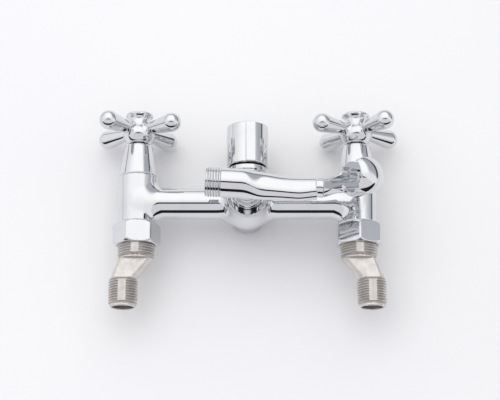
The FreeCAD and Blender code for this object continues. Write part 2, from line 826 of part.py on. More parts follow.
def shower_elbow():
    straight = from_z(rod(elbow_tube_r, hose_thread_len - hose_end, arm_start), "x")
    hose = from_z(thread(hose_root_r, hose_major_r, -hose_end, hose_thread_len - hose_end), "x")
    ring = from_z(rod(arm_ring_r, arm_end, arm_end + arm_ring_len), "x")
    rim = [e for e in ring.Edges if e.BoundBox.XLength < 0.01]
    ring = ring.makeChamfer(arm_ring_edge, rim)
    lowered = -elbow_axis
    neck = rod(neck_step_r, lowered + bush_top + face_gap, lowered + neck_step_top)
    neck = neck.fuse([rod(neck_r, lowered + neck_step_top, 0),
                      rod(spigot_r, lowered + spigot_low, lowered + bush_top + 1)])
    body = straight.fuse([hose, holder_arm(), ring, neck])
    ring_end = arm_end + arm_ring_len
    cuts = [from_z(rod(elbow_bore_r, -hose_end - 1, 0), "x"), Part.makeSphere(elbow_bore_r),
            rod(spigot_bore_r, lowered, 0),
            from_z(rod(pivot_r + run_gap, ring_end - pivot_len - pivot_room, ring_end + 1), "x")]
    grub_hole = rod(grub_r + thread_gap, -arm_ring_r - 1, -pivot_r + grub_clear)
    cuts.append(moved(grub_hole, ring_end - pivot_groove_at))
    ring_floor_r = spigot_r - 2 * ring_section_r - ring_gap
    grooves = [(height, ring_floor_r, ring_groove_len) for height in elbow_ring_heights()]
    grooves.append((clip_low + clip_thick / 2, clip_inner_r - thread_gap, clip_thick + face_gap))
    for height, floor_r, length in grooves:
        low = lowered + height - length / 2
        cuts.append(tube(spigot_r + 1, floor_r, low, low + length))
    return elbow_place(body.cut(cuts))


def cup_axis():
    return V(-cup_back, -cup_wallward, cup_up).normalize()


def holder_neck(start):
    """The neck between the arm's ring and the cup: it widens and dips so that the handset clears it."""
    mouth_r = arm_ring_r - grub_clear
    wires = [cross_section(mouth_r, mouth_r, 0, V(start, 0, 0))]
    for out, forward, rise, half_width, half_height in neck_stations:
        middle = V(start + out * (head_reach - start), forward * head_forward, rise)
        wires.append(cross_section(half_width, half_height, 0, middle))
    return Part.makeLoft(wires, True, False)


def handset_holder():
    start = arm_end + arm_ring_len + face_gap
    middle = V(head_reach, head_forward, head_rise)
    body = holder_neck(start)
    axis = cup_axis()
    mouth = middle + axis * cup_len
    back = middle - axis * head_back
    cup = Part.makeCylinder(head_r, head_back + cup_len, back, axis)
    cup = cup.makeFillet(head_edge, [e for e in cup.Edges if e.CenterOfMass.distanceToPoint(back) < 0.1])
    pivot = from_z(rod(pivot_r, start - pivot_len, start + 1), "x")
    for at, length in ((pivot_groove_at + face_gap, pivot_groove_len), (pivot_ring_at, pivot_ring_len)):
        low = start - at - length / 2
        groove = tube(pivot_r + 1, pivot_r - pivot_groove_depth, low, low + length)
        pivot = pivot.cut(from_z(groove, "x"))
    body = body.fuse([cup, pivot])
    entry = Part.makeCylinder(cup_mouth_r, 2 * head_r, mouth, axis)
    socket = Part.makeCone(cup_mouth_r, cup_seat_r, cup_depth, mouth, axis * -1)
    hole = Part.makeCylinder(cup_hole_r, 3 * head_r, mouth, axis * -1)
    across = V(0, 1, 0) - axis * axis.y
    across.normalize()
    side = axis.cross(across)
    corner = mouth - axis * (3 * head_r) - side * (cup_slot / 2)
    far = corner + across * (2 * head_r)
    slot_face = Part.makePolygon([corner, corner + side * cup_slot, far + side * cup_slot, far, corner])
    slot = Part.Face(slot_face).extrude(axis * (4 * head_r))
    return elbow_place(body.cut([entry, socket, hole, slot]))


def holder_o_ring():
    at = arm_end + arm_ring_len + face_gap - pivot_ring_at
    return elbow_place(moved(from_z(o_ring(pivot_r - ring_section_r - ring_gap, 0), "x"), at))


def holder_grub_screw():
    low = grub_sunk - arm_ring_r
    tip = pivot_groove_depth - pivot_r - grub_clear
    body = rod(grub_r, low, tip)
    body = body.cut(hexagon(grub_key, low - 1, low + grub_key))
    return elbow_place(moved(body, arm_end + arm_ring_len - pivot_groove_at))


def outlet_straightener():
    """A honeycomb disc in its own room above the outlet's thread."""
    low = outlet_bore_depth
    top = low + straightener_thick
    disc = rod(straightener_r, low, top)
    pitch = straightener_cell + straightener_web
    cells = []
    span = int(straightener_r / pitch) + 1
    for row in range(-span, span + 1):
        for place in range(-span, span + 1):
            x = pitch * (place + 0.5 * (row % 2))
            y = pitch * row * math.cos(math.radians(30))
            if math.hypot(x, y) < straightener_r - straightener_cell / 2 - straightener_rim:
                cells.append(moved(hexagon(straightener_cell, low - 1, top + 1, 30), x, y))
    return disc.cut(cells)


def save(name, shape):
    if len(shape.Solids) == 1:
        shape = shape.removeSplitter()
    shape.exportStep("parts/" + name + ".step")
    box = shape.BoundBox
    report = (name, len(shape.Solids), shape.isValid(), round(shape.Volume, 1))
    print(*report, [round(v, 1) for v in (box.XMin, box.YMin, box.ZMin, box.XMax, box.YMax, box.ZMax)])


def main():
    os.makedirs("parts", exist_ok=True)
    save("body_casting", body_casting())
    makers = (eccentric_union, union_nut, union_washer, inlet_tail, inlet_strainer, headwork, packing,
              gland_nut, jumper, jumper_washer, spindle, bonnet, handle, handle_screw, index_cap)
    for side in sides:
        for maker in makers:
            save(side + "_" + maker.__name__, maker(side))
    for maker in (diverter_headwork, diverter_collar, diverter_drum, diverter_o_rings, diverter_knob,
                  knob_screw, knob_cap, elbow_bush, elbow_clip, elbow_o_rings, shower_elbow,
                  handset_holder, holder_o_ring, holder_grub_screw, outlet_straightener):
        save(maker.__name__, maker())


main()
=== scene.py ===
import math

import bpy
import numpy as np
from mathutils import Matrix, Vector


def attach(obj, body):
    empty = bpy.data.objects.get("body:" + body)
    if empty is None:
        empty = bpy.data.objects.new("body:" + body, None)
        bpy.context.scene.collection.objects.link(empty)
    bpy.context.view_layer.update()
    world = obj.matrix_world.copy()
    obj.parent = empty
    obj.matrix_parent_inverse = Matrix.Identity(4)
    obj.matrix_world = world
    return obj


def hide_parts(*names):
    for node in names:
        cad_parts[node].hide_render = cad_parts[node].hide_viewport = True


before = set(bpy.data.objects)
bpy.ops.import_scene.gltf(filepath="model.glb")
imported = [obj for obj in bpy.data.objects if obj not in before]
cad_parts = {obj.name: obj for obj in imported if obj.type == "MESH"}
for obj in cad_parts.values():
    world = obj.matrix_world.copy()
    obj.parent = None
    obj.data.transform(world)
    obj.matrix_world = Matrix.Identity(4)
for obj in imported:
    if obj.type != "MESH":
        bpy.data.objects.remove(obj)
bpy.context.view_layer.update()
print("frame loaded:", len(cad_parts), "CAD nodes")

# The camera looks down on the mixer as it lies on a table, from above and a little from the wall side
cameraPlan = {
    "target": (0.0018, 0.0027, 0.0368),  # where the middle of the picture falls
    "distance": 0.925,
    "elevation": 73.5,  # degrees above the floor
    "lens": 93.1, "sensor": 36,  # millimetres
}


def addCamera(plan):
    tilt = math.radians(plan["elevation"])
    back = Vector((0, -math.cos(tilt), math.sin(tilt)))
    camera = bpy.data.objects.new("studioCamera", bpy.data.cameras.new("studioCamera"))
    bpy.context.scene.collection.objects.link(camera)
    camera.data.lens = plan["lens"]
    camera.data.sensor_width = plan["sensor"]
    camera.location = Vector(plan["target"]) + back * plan["distance"]
    camera.rotation_mode = "QUATERNION"
    camera.rotation_quaternion = (-back).to_track_quat("-Z", "Y")
    bpy.context.scene.camera = camera


addCamera(cameraPlan)
bpy.context.scene.view_settings.view_transform = "Standard"
print("camera placed")


class Wire:
    # A socket's value, so that shader maths reads as plain expressions

    def __init__(self, tree, socket):
        self.tree, self.socket = tree, socket

    def math(self, operation, *values):
        made = self.tree.nodes.new("ShaderNodeMath")
        made.operation = operation
        for place, value in enumerate(values):
            if isinstance(value, Wire):
                self.tree.links.new(value.socket, made.inputs[place])
            else:
                made.inputs[place].default_value = value
        return Wire(self.tree, made.outputs[0])

    def __add__(self, other): return self.math("ADD", self, other)
    def __radd__(self, other): return self.math("ADD", other, self)
    def __sub__(self, other): return self.math("SUBTRACT", self, other)
    def __rsub__(self, other): return self.math("SUBTRACT", other, self)
    def __mul__(self, other): return self.math("MULTIPLY", self, other)
    def __rmul__(self, other): return self.math("MULTIPLY", other, self)
    def __truediv__(self, other): return self.math("DIVIDE", self, other)
    def __rtruediv__(self, other): return self.math("DIVIDE", other, self)
    def __neg__(self): return self.math("MULTIPLY", self, -1.0)
    def __lt__(self, other): return self.math("LESS_THAN", self, other)
    def __abs__(self): return self.math("ABSOLUTE", self)


class Tree:
    # One node tree with one method that adds any node: its settings go first, then its sockets

    def __init__(self, tree):
        self.tree = tree
        tree.nodes.clear()

    def add(self, kind, settings, sockets, output=0):
        made = self.tree.nodes.new("ShaderNode" + kind)
        for name, value in settings.items():
            setattr(made, name, value)
        for name, value in sockets.items():
            if isinstance(value, Wire):
                self.tree.links.new(value.socket, made.inputs[name])
            else:
                made.inputs[name].default_value = value
        return Wire(self.tree, made.outputs[output]) if len(made.outputs) else None

    def blend(self, amount, first, second):
        # Mixes two colours: a Mix node's colour sockets are its last ones
        return self.add("Mix", {"data_type": "RGBA"}, {0: amount, 6: first, 7: second}, 2)

    def band(self, value, low, high):
        # Rises smoothly from 0 to 1 as value goes from low to high
        sockets = {"Value": value, "From Min": low, "From Max": high}
        return self.add("MapRange", {"interpolation_type": "SMOOTHSTEP"}, sockets)

    def place(self):
        # The piece's own coordinates, in metres
        return self.add("TexCoord", {}, {}, 3)

    def groove(self):
        # How much painted shade a place gets for lying deep in a thread's groove, 0 on pieces with no thread
        return self.add("Attribute", {"attribute_name": "groove"}, {}, 2)

    def noise(self, scale, detail=2.0, rough=0.5):
        sockets = {"Vector": self.place(), "Scale": scale, "Detail": detail, "Roughness": rough}
        return self.add("TexNoise", {}, sockets)


def newMaterial(name):
    material = bpy.data.materials.new(name)
    material.use_nodes = True
    return material, Tree(material.node_tree)


def finishMaterial(tree, height, reach, sockets):
    # The shared end of every finish: bump, the shader and the output
    normal = tree.add("Bump", {}, {"Height": height, "Distance": reach, "Strength": 1.0})
    shader = tree.add("BsdfPrincipled", {}, dict(sockets, Normal=normal))
    tree.add("OutputMaterial", {}, {"Surface": shader})


chromePlan = {
    "bright": (0.735, 0.742, 0.757, 1),
    "dull": (0.695, 0.705, 0.725, 1),
    # The dark colour painted into thread grooves, as painted shade
    "groove": (0.10, 0.105, 0.11, 1),
    "rough": 0.035, "wornRough": 0.05, "speckRough": 0.015,  # the last two add to the first
    "waveHeight": 0.000012,  # the faint unevenness of polished castings, in metres
}


def makeChrome(name, plan):
    material, tree = newMaterial(name)
    worn = tree.band(tree.noise(45, 4, 0.6), 0.42, 0.72)
    specks = tree.band(tree.noise(900, 2, 0.5), 0.6, 0.75)
    waves = tree.noise(60, 1, 0.4)
    gloss = plan["rough"] + plan["wornRough"] * worn + plan["speckRough"] * specks
    colour = tree.blend(worn, plan["bright"], plan["dull"])
    # Painted shade: the thread grooves are darkened towards that colour
    colour = tree.blend(tree.groove(), colour, plan["groove"])
    finishMaterial(tree, waves, plan["waveHeight"], {"Base Color": colour, "Roughness": gloss, "Metallic": 1.0})
    return material


castPlan = {
    "light": (0.74, 0.705, 0.675, 1),
    "dark": (0.66, 0.625, 0.595, 1),
    # The dark colour painted into thread grooves, as painted shade
    "groove": (0.20, 0.18, 0.165, 1),
    "rough": 0.27, "patchRough": 0.12,
    "grainHeight": 0.00002,
}


def makeCastNickel(name, plan):
    material, tree = newMaterial(name)
    grain = tree.noise(1400, 3, 0.6)
    patches = tree.noise(160, 3, 0.6)
    pits = tree.add("TexVoronoi", {"feature": "F1"}, {"Scale": 700, "Vector": tree.place()})
    mottle = tree.band(patches * 0.7 + grain * 0.3, 0.38, 0.62)
    colour = tree.blend(mottle, plan["dark"], plan["light"])
    # Painted shade: the thread grooves are darkened towards that colour
    colour = tree.blend(tree.groove(), colour, plan["groove"])
    gloss = plan["rough"] + plan["patchRough"] * (1 - mottle)
    finishMaterial(tree, grain * 0.7 + tree.band(pits, 0.0, 0.35) * 0.3, plan["grainHeight"],
                   {"Base Color": colour, "Roughness": gloss, "Metallic": 1.0})
    return material


metalPlans = {
    "brass": {"light": (0.80, 0.62, 0.33, 1), "dark": (0.66, 0.47, 0.22, 1), "rough": 0.26},
    "steel": {"light": (0.66, 0.66, 0.67, 1), "dark": (0.50, 0.50, 0.52, 1), "rough": 0.24},
}
lineHeight = 0.000012  # depth of the tool lines, in metres
skinHeight = 0.00002  # and of the skin on moulded pieces


def makeTurnedMetal(name, plan):
    # Machined metal: fine tool lines across the piece and a little tarnish
    material, tree = newMaterial(name)
    lines = tree.add("TexWave", {"wave_type": "BANDS", "bands_direction": "Y"},
                     {"Scale": 900, "Distortion": 1.5, "Detail": 2.0, "Vector": tree.place()}, 1)
    tarnish = tree.band(tree.noise(220, 4, 0.6), 0.40, 0.68)
    colour = tree.blend(tarnish, plan["light"], plan["dark"])
    gloss = plan["rough"] + 0.18 * tarnish + 0.05 * lines
    finishMaterial(tree, lines, lineHeight, {"Base Color": colour, "Roughness": gloss, "Metallic": 1.0})
    return material


softPlans = {
    "rubber": {"light": (0.055, 0.055, 0.058, 1), "dark": (0.025, 0.025, 0.027, 1), "rough": 0.62},
    "sealingRing": {"light": (0.84, 0.83, 0.79, 1), "dark": (0.74, 0.73, 0.69, 1), "rough": 0.55},
    "whitePlastic": {"light": (0.86, 0.86, 0.85, 1), "dark": (0.78, 0.78, 0.76, 1), "rough": 0.42},
    "hotMark": {"light": (0.70, 0.05, 0.045, 1), "dark": (0.50, 0.03, 0.03, 1), "rough": 0.18},
    "coldMark": {"light": (0.05, 0.17, 0.55, 1), "dark": (0.03, 0.10, 0.40, 1), "rough": 0.18},
}


def makeMoulded(name, plan):
    # Moulded plastic or rubber: a faint leather-like skin and slow cloudy tone
    material, tree = newMaterial(name)
    skin = tree.noise(1800, 2, 0.6)
    clouds = tree.band(tree.noise(130, 3, 0.5), 0.35, 0.65)
    colour = tree.blend(clouds, plan["light"], plan["dark"])
    gloss = plan["rough"] + 0.10 * clouds + 0.06 * skin
    finishMaterial(tree, skin, skinHeight, {"Base Color": colour, "Roughness": gloss, "Metallic": 0.0})
    return material


finishes = {
    "chrome": makeChrome("polishedChrome", chromePlan),
    "cast_nickel": makeCastNickel("castNickel", castPlan),
    "brass": makeTurnedMetal("machinedBrass", metalPlans["brass"]),
    "steel": makeTurnedMetal("plainSteel", metalPlans["steel"]),
    "rubber": makeMoulded("blackRubber", softPlans["rubber"]),
    "sealing_ring": makeMoulded("sealingRing", softPlans["sealingRing"]),
    "white_plastic": makeMoulded("whitePlastic", softPlans["whitePlastic"]),
    "hot_mark": makeMoulded("hotMark", softPlans["hotMark"]),
    "cold_mark": makeMoulded("coldMark", softPlans["coldMark"]),
}
print("finishes made:", len(finishes))

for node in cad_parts.values():
    for slot in node.material_slots:
        slot.material = finishes.get(slot.material.name.split(".")[0], finishes["chrome"])


def netCells(values):
    # The grid cells that the surface crosses, as a mask
    counts = [n - 1 for n in values.shape]
    negatives = np.zeros(counts, int)
    for dx in (0, 1):
        for dy in (0, 1):
            for dz in (0, 1):
                part = values[dx:dx + counts[0], dy:dy + counts[1], dz:dz + counts[2]]
                negatives += part < 0
    return (negatives > 0) & (negatives < 8)


def netPoints(values, cells, low, cell):
    # One point a cell: the middle of the places where its edges cross the surface
    total = np.zeros((len(cells), 3))
    crossings = np.zeros(len(cells))
    for axis in range(3):
        others = [a for a in range(3) if a != axis]
        for first in (0, 1):
            for second in (0, 1):
                start = cells.copy()
                start[:, others[0]] += first
                start[:, others[1]] += second
                end = start.copy()
                end[:, axis] += 1
                before, after = values[tuple(start.T)], values[tuple(end.T)]
                crossed = (before < 0) != (after < 0)
                share = np.where(crossed, before / np.where(crossed, before - after, 1), 0)
                place = start.astype(float)
                place[:, axis] += share
                total += place * crossed[:, None]
                crossings += crossed
    return total / crossings[:, None] * cell + np.array(low)


def netFaces(values, numbers):
    # A quad round each grid edge that crosses the surface, wound so that it faces outwards
    faces = []
    for axis in range(3):
        others = [(axis + 1) % 3, (axis + 2) % 3]
        before = np.take(values, range(values.shape[axis] - 1), axis)
        after = np.take(values, range(1, values.shape[axis]), axis)
        edges = np.argwhere((before < 0) != (after < 0))
        edges = edges[(edges[:, others[0]] > 0) & (edges[:, others[1]] > 0)]
        leaving = before[tuple(edges.T)] < 0
        around = []
        for first, second in ((1, 1), (0, 1), (0, 0), (1, 0)):
            cellPlace = edges.copy()
            cellPlace[:, others[0]] -= first
            cellPlace[:, others[1]] -= second
            around.append(numbers[tuple(cellPlace.T)])
        quads = np.stack(around, 1)
        quads[~leaving] = quads[~leaving][:, ::-1]
        faces.append(quads)
    return np.concatenate(faces)


def slopeOf(field, points, step=0.02):
    slope = np.zeros(points.shape)
    for axis in range(3):
        shift = np.zeros(3)
        shift[axis] = step
        slope[:, axis] = (field(points + shift) - field(points - shift)) / (2 * step)
    return slope


meshPlan = {"part": 200000, "rounds": 6, "evened": (1, 2, 3)}  # points worked at once, and rounds onto the surface


def castPiece(name, field, low, high, cell, place=None):
    # A smooth closed mesh of a casting, from its distance field in millimetres
    counts = [int(math.ceil((b - a) / cell)) + 1 for a, b in zip(low, high)]
    axes = [a + cell * np.arange(n) for a, n in zip(low, counts)]
    grid = np.stack(np.meshgrid(*axes, indexing="ij"), -1).reshape(-1, 3)
    parts = np.array_split(grid, 1 + len(grid) // meshPlan["part"])
    values = np.concatenate([field(part) for part in parts]).reshape(counts)
    mask = netCells(values)
    cells = np.argwhere(mask)
    numbers = np.full(mask.shape, -1)
    numbers[mask] = np.arange(len(cells))
    points = netPoints(values, cells, low, cell)
    faces = netFaces(values, numbers)
    for turn in range(meshPlan["rounds"]):
        if turn in meshPlan["evened"]:  # evens the quads out along the surface
            total, shared = np.zeros(points.shape), np.zeros(len(points))
            for corner in range(4):
                for beside in (1, 3):
                    np.add.at(total, faces[:, corner], points[faces[:, (corner + beside) % 4]])
                    np.add.at(shared, faces[:, corner], 1)
            points = points + 0.5 * (total / shared[:, None] - points)
        slope = slopeOf(field, points)
        steep = np.maximum((slope ** 2).sum(1), 0.05)
        move = (field(points) / steep)[:, None] * slope
        points = points - np.clip(move, -cell / 2, cell / 2)
    slope = slopeOf(field, points)  # the casting's true normals, whatever the mesh
    normals = slope / np.maximum(np.linalg.norm(slope, axis=1), 1e-6)[:, None]
    return meshPiece(name, points, faces, normals, place)


def meshPiece(name, points, faces, normals=None, place=None):
    # Points and normals in millimetres become one object in metres
    if place:
        points = place(points)
        normals = normals if normals is None else place(normals, True)
    mesh = bpy.data.meshes.new(name)
    mesh.from_pydata((points / 1000).tolist(), [], [tuple(face) for face in faces.tolist()])
    mesh.polygons.foreach_set("use_smooth", [True] * len(mesh.polygons))
    if normals is not None:
        mesh.normals_split_custom_set_from_vertices(normals.tolist())
    piece = bpy.data.objects.new(name, mesh)
    bpy.context.scene.collection.objects.link(piece)
    return piece


def dress(piece, finish, body, *nodes):
    # Gives a piece its finish and its body, and the CAD nodes that it stands for
    piece.data.materials.append(finishes[finish])
    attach(piece, body)
    if nodes:
        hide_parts(*nodes)


def roundJoin(first, second, radius):
    # Joins two fields with a round fillet
    u, v = np.maximum(radius - first, 0), np.maximum(radius - second, 0)
    return np.maximum(radius, np.minimum(first, second)) - np.sqrt(u * u + v * v)


def roundMeet(first, second, radius):
    # What two fields share, with its edge rounded over
    u, v = np.maximum(radius + first, 0), np.maximum(radius + second, 0)
    return np.minimum(-radius, np.maximum(first, second)) + np.sqrt(u * u + v * v)


def roundCut(first, second, radius):
    return roundMeet(first, -second, radius)


def rod(points, axis, radius, low, high, edge=0.4):
    # A round bar along one axis between two places
    others = [a for a in range(3) if a != axis]
    side = np.hypot(points[:, others[0]], points[:, others[1]]) - radius
    ends = np.abs(points[:, axis] - (low + high) / 2) - (high - low) / 2
    return roundMeet(side, ends, edge)


def emptied(points, rooms):
    # The rooms bored in a piece, from a list of (axis, radius, start, end)
    return np.minimum.reduce([rod(points, *room) for room in rooms])


def shifted(points, x=0.0, y=0.0, z=0.0):
    return points - np.array([x, y, z])


def turnedField(points, axis, outline):
    # The field of a turned shape whose outline is a closed loop of (radius, place along the axis)
    others = [a for a in range(3) if a != axis]
    radius = np.hypot(points[:, others[0]], points[:, others[1]])
    flat = np.stack([radius, points[:, axis]], 1)
    nearest = np.full(len(points), 1e9)
    inside = np.zeros(len(points), bool)
    loop = list(zip(outline, outline[1:] + outline[:1]))
    for (r0, h0), (r1, h1) in loop:
        if r0 == 0 and r1 == 0:
            continue
        along = np.array([r1 - r0, h1 - h0])
        offset = flat - np.array([r0, h0])
        share = np.clip(offset @ along / max(along @ along, 1e-9), 0, 1)
        nearest = np.minimum(nearest, ((offset - share[:, None] * along) ** 2).sum(1))
        crosses = (h0 > flat[:, 1]) != (h1 > flat[:, 1])
        if h1 != h0:
            inside ^= crosses & (flat[:, 0] < (r1 - r0) * (flat[:, 1] - h0) / (h1 - h0) + r0)
    return np.where(inside, -1, 1) * np.sqrt(nearest)


bodyPlan = {
    "spacing": 78.75, "height": 36.0, "barRadius": 11.0, "barFillet": 5.5,
    "columnBack": -15.2, "columnFront": 19.0, "columnRadius": (13.5, 14.5),
    "ball": 18.5, "boss": (14.5, 20.5), "frontBoss": (13.0, 19.0), "stub": 12.5, "hubFillet": 4.0,
    "rooms": [(0, 7.0, -64.2, 64.2), (0, 5.5, -79, 79),  # waterways along the bar
              (1, 10.05, -9.5, 11.5), (1, 11.0, 11.0, 21),  # for the diverter
              (2, 9.6, 0, 15), (2, 10.9, 14.5, 22),  # for the elbow's bush
              (2, 8.0, -30, 0), (2, 8.8, -23, -17.8), (2, 9.35, -38, -22)],  # down to the outlet
    "columnRooms": [(1, 10.45, -6.5, 21), (1, 6.0, -16, -6), (1, 10.25, -18, -8.5)],
    "margin": (16, -20, 23, -1, 58),  # the space meshed, past the columns, back to front and from low to high
    "cell": 0.75,
}


def placed(across):
    # From a column's own axes to the mixer's
    def place(points, isNormal=False):
        return points if isNormal else points + np.array([across, 0, bodyPlan["height"]])
    return place


def eachSide(make):
    # Makes a piece for the cold side, then for the hot side
    make("cold", -bodyPlan["spacing"])
    make("hot", bodyPlan["spacing"])


def bodyField(points):
    plan = bodyPlan
    p = shifted(points, z=plan["height"])
    mirrored = p * np.array([-1, 1, 1])
    bar = rod(p, 0, plan["barRadius"], -plan["spacing"], plan["spacing"])
    back, front = plan["columnBack"], plan["columnFront"]
    low, high = plan["columnRadius"]
    columns = np.full(len(p), 1e9)
    for side in (p, mirrored):
        q = shifted(side, x=plan["spacing"])
        radius = low + (high - low) * (q[:, 1] - back) / (front - back)
        wall = np.hypot(q[:, 0], q[:, 2]) - radius
        ends = np.abs(q[:, 1] - (front + back) / 2) - (front - back) / 2
        columns = np.minimum(columns, roundMeet(wall, ends, 0.5))
    hub = np.linalg.norm(p, axis=1) - plan["ball"]
    hub = roundJoin(hub, rod(p, 2, plan["boss"][0], 0, plan["boss"][1], 0.5), plan["hubFillet"])
    hub = roundJoin(hub, rod(p, 2, plan["stub"], -plan["height"], 0, 0.7), plan["hubFillet"])
    hub = roundJoin(hub, rod(p, 1, plan["frontBoss"][0], 0, plan["frontBoss"][1], 0.5), plan["hubFillet"])
    shell = roundJoin(roundJoin(bar, hub, plan["barFillet"]), columns, plan["barFillet"])
    rooms = [emptied(p, plan["rooms"])]
    rooms += [emptied(shifted(side, x=plan["spacing"]), plan["columnRooms"]) for side in (p, mirrored)]
    rooms = np.minimum.reduce(rooms)
    return roundCut(shell, rooms, 0.3)


def addBody():
    past, back, front, low, high = bodyPlan["margin"]
    reach = bodyPlan["spacing"] + past
    casting = castPiece("bodyCasting", bodyField, (-reach, back, low), (reach, front, high), bodyPlan["cell"])
    dress(casting, "chrome", "mixer_body", "body_casting")


addBody()
print("body cast")

handlePlan = {
    "hub": [(7.4, 44.3), (8.9, 45.8), (10.0, 47.5), (10.9, 49.4), (11.3, 51.2), (11.2, 52.8), (10.4, 55.0),
            (9.1, 57.2), (8.2, 59.4), (7.8, 61.4), (8.0, 63.1), (8.6, 64.3), (9.5, 65.2), (10.0, 65.8),
            (10.0, 66.8), (9.4, 67.4), (7.45, 67.4), (7.45, 65.2), (0, 65.2), (0, 62.5), (2.85, 62.5),
            (2.85, 47.0), (4.2, 47.0), (4.2, 44.3)],
    "smoothTo": 13,  # the outline is smooth up to here
    "armPlace": 55.0, "armReach": 31.4, "armStart": 3, "ball": 6.85, "arm": 3.7, "slope": 8.0, "flareEase": 3,
    "joinFillet": 2.0,
    "stemRoom": [(0, 43), (4.25, 43), (4.25, 47), (2.85, 47), (2.85, 62.5), (0, 62.5)],
    "capSeat": (7.45, 65.2, 70),
    "cold": 6.5, "hot": -9.0,  # how far each cross has turned
    "cell": 0.55,
}


def smoothLoop(outline, first, last, steps=6):
    # Puts a smooth curve through part of an outline, so that it has no corners there
    points = [np.array(p, float) for p in outline]
    rounded = []
    for place in range(first, last):
        before = points[max(place - 1, first)]
        start, end = points[place], points[place + 1]
        after = points[min(place + 2, last)]
        for step in range(steps):
            t = step / steps
            curve = (2 * start + (end - before) * t + (2 * before - 5 * start + 4 * end - after) * t * t
                     + (3 * start - before - 3 * end + after) * t ** 3) / 2
            rounded.append(tuple(curve))
    return [tuple(p) for p in points[:first]] + rounded + [tuple(p) for p in points[last:]]


def handleField(turn):
    plan = handlePlan
    hubLine = smoothLoop(plan["hub"], 0, plan["smoothTo"])
    slope = math.radians(plan["slope"])
    flareEnd = plan["armReach"] - plan["ball"] * math.sin(slope)
    flareStart = flareEnd - (plan["ball"] * math.cos(slope) - plan["arm"]) / math.tan(slope)

    def field(points):
        shape = turnedField(points, 1, hubLine)
        for step in range(4):
            angle = math.radians(45 + 90 * step - turn)
            out = np.array([math.cos(angle), 0, math.sin(angle)])
            q = shifted(points, y=plan["armPlace"])
            along = q @ out
            side = np.sqrt(np.maximum((q * q).sum(1) - along * along, 0))
            beyond = along - flareStart
            radius = plan["arm"] + math.tan(slope) * (beyond + np.hypot(beyond, plan["flareEase"])) / 2
            arm = np.maximum((side - radius) * math.cos(slope), along - flareEnd)
            arm = np.maximum(arm, plan["armStart"] - along)
            ball = np.linalg.norm(q - out * plan["armReach"], axis=1) - plan["ball"]
            shape = roundJoin(shape, np.minimum(arm, ball), plan["joinFillet"])
        holes = np.minimum(turnedField(points, 1, plan["stemRoom"]), rod(points, 1, *plan["capSeat"], 0.1))
        return np.maximum(shape, -holes)
    return field


def addHandle(side, across):
    field = handleField(handlePlan[side])
    low, high = (-40, 43, -40), (40, 70, 40)
    handle = castPiece(side + "CrossHandle", field, low, high, handlePlan["cell"], placed(across))
    dress(handle, "chrome", side + "_cross_handle", side + "_handle")


eachSide(addHandle)
print("handles cast")

# The painted-shade ring under each handle: its radii, heights, lip and steps round
gapShadeRingPlan = {"inner": 4.3, "outer": 8.0, "low": 42.92, "high": 43.35, "lip": 0.15, "steps": 64}


def addGapShadeRing(side, across):
    # A thin ring with the black rubber finish on the headwork, under the handle: painted shade, a dark sheet that
    # fills the gap there so that it reads as shadow and hides the brass
    plan = gapShadeRingPlan
    low, high, lip = plan["low"], plan["high"], plan["lip"]
    inner, outer = plan["inner"], plan["outer"]
    outline = [(inner, low), (inner, high - lip), (inner + lip, high), ((inner + outer) / 2, high - lip / 2),
               (outer - lip, high), (outer, high - lip), (outer, low)]
    angle = np.arange(plan["steps"]) / plan["steps"] * 2 * math.pi
    points = np.concatenate([np.stack([r * np.cos(angle), np.full(len(angle), h), r * np.sin(angle)], 1)
                             for r, h in outline])
    numbers = np.arange(len(points)).reshape(len(outline), -1)
    after = np.roll(numbers, -1, 0)
    quads = np.stack([numbers, after, np.roll(after, -1, 1), np.roll(numbers, -1, 1)], -1).reshape(-1, 4)
    ring = meshPiece(side + "GapShadeRing", points, quads[:, ::-1], None, placed(across))
    dress(ring, "rubber", "mixer_body")


eachSide(addGapShadeRing)

elbowPlan = {
    "axis": 84.5, "turn": -3.3, "arm": 47.5, "tilt": 13.5,
    "stations": (-20.0, -1.0, 8.4, 25.0, 36.0, 43.0, 47.5),  # along the arm, with its half sizes and its sag there
    "wide": (10.2, 10.2, 10.3, 8.7, 8.8, 8.4, 8.0),
    "thin": (10.2, 10.2, 6.8, 5.6, 5.4, 5.6, 5.6),
    "sag": (0.0, 0.0, 0.9, 1.7, 1.8, 1.0, 0.6),
    "armBack": -18.1, "pivotStub": (0, 6.6, 46.5, 51.7, 0.3), "threadCore": (0, 9.5, -28.4, -17, 0.3),
    "collar": (2, 10.5, -22.4, -17.5, 0.5), "neck": (2, 9.7, -18, -3, 0.3), "shank": (2, 8.0, -37.1, -22, 0.3),
    "neckFillet": 2.5, "chamber": 7.4,
    "rooms": [(0, 7.4, -30, 0), (2, 5.6, -38, 0), (0, 4.05, 42, 53)],  # hose, shank and the holder's pivot
    "cell": 0.6,
}


def elbowPlace(points, isNormal=False):
    # From the elbow's own axes to the mixer's
    turn = math.radians(elbowPlan["turn"])
    x = points[:, 0] * math.cos(turn) - points[:, 1] * math.sin(turn)
    y = points[:, 0] * math.sin(turn) + points[:, 1] * math.cos(turn)
    z = points[:, 2] + (0 if isNormal else elbowPlan["axis"])
    return np.stack([x, y, z], 1)


def easedThrough(x, stations, sizes, blur=2.5):
    # Follows the sizes at the stations with no corner between them
    steps = np.linspace(-3, 3, 13)
    weights = np.exp(-steps * steps / 2)
    total = sum(w * np.interp(x + s * blur, stations, sizes) for s, w in zip(steps, weights))
    return total / weights.sum()


def ovalField(broad, narrow, wide, thin):
    # How far a point lies outside an oval, nearly
    oval = np.sqrt((broad / wide) ** 2 + (narrow / thin) ** 2 + 1e-9)
    slope = np.sqrt((broad / wide ** 2) ** 2 + (narrow / thin ** 2) ** 2 + 1e-9)
    return (oval - 1) * oval / slope


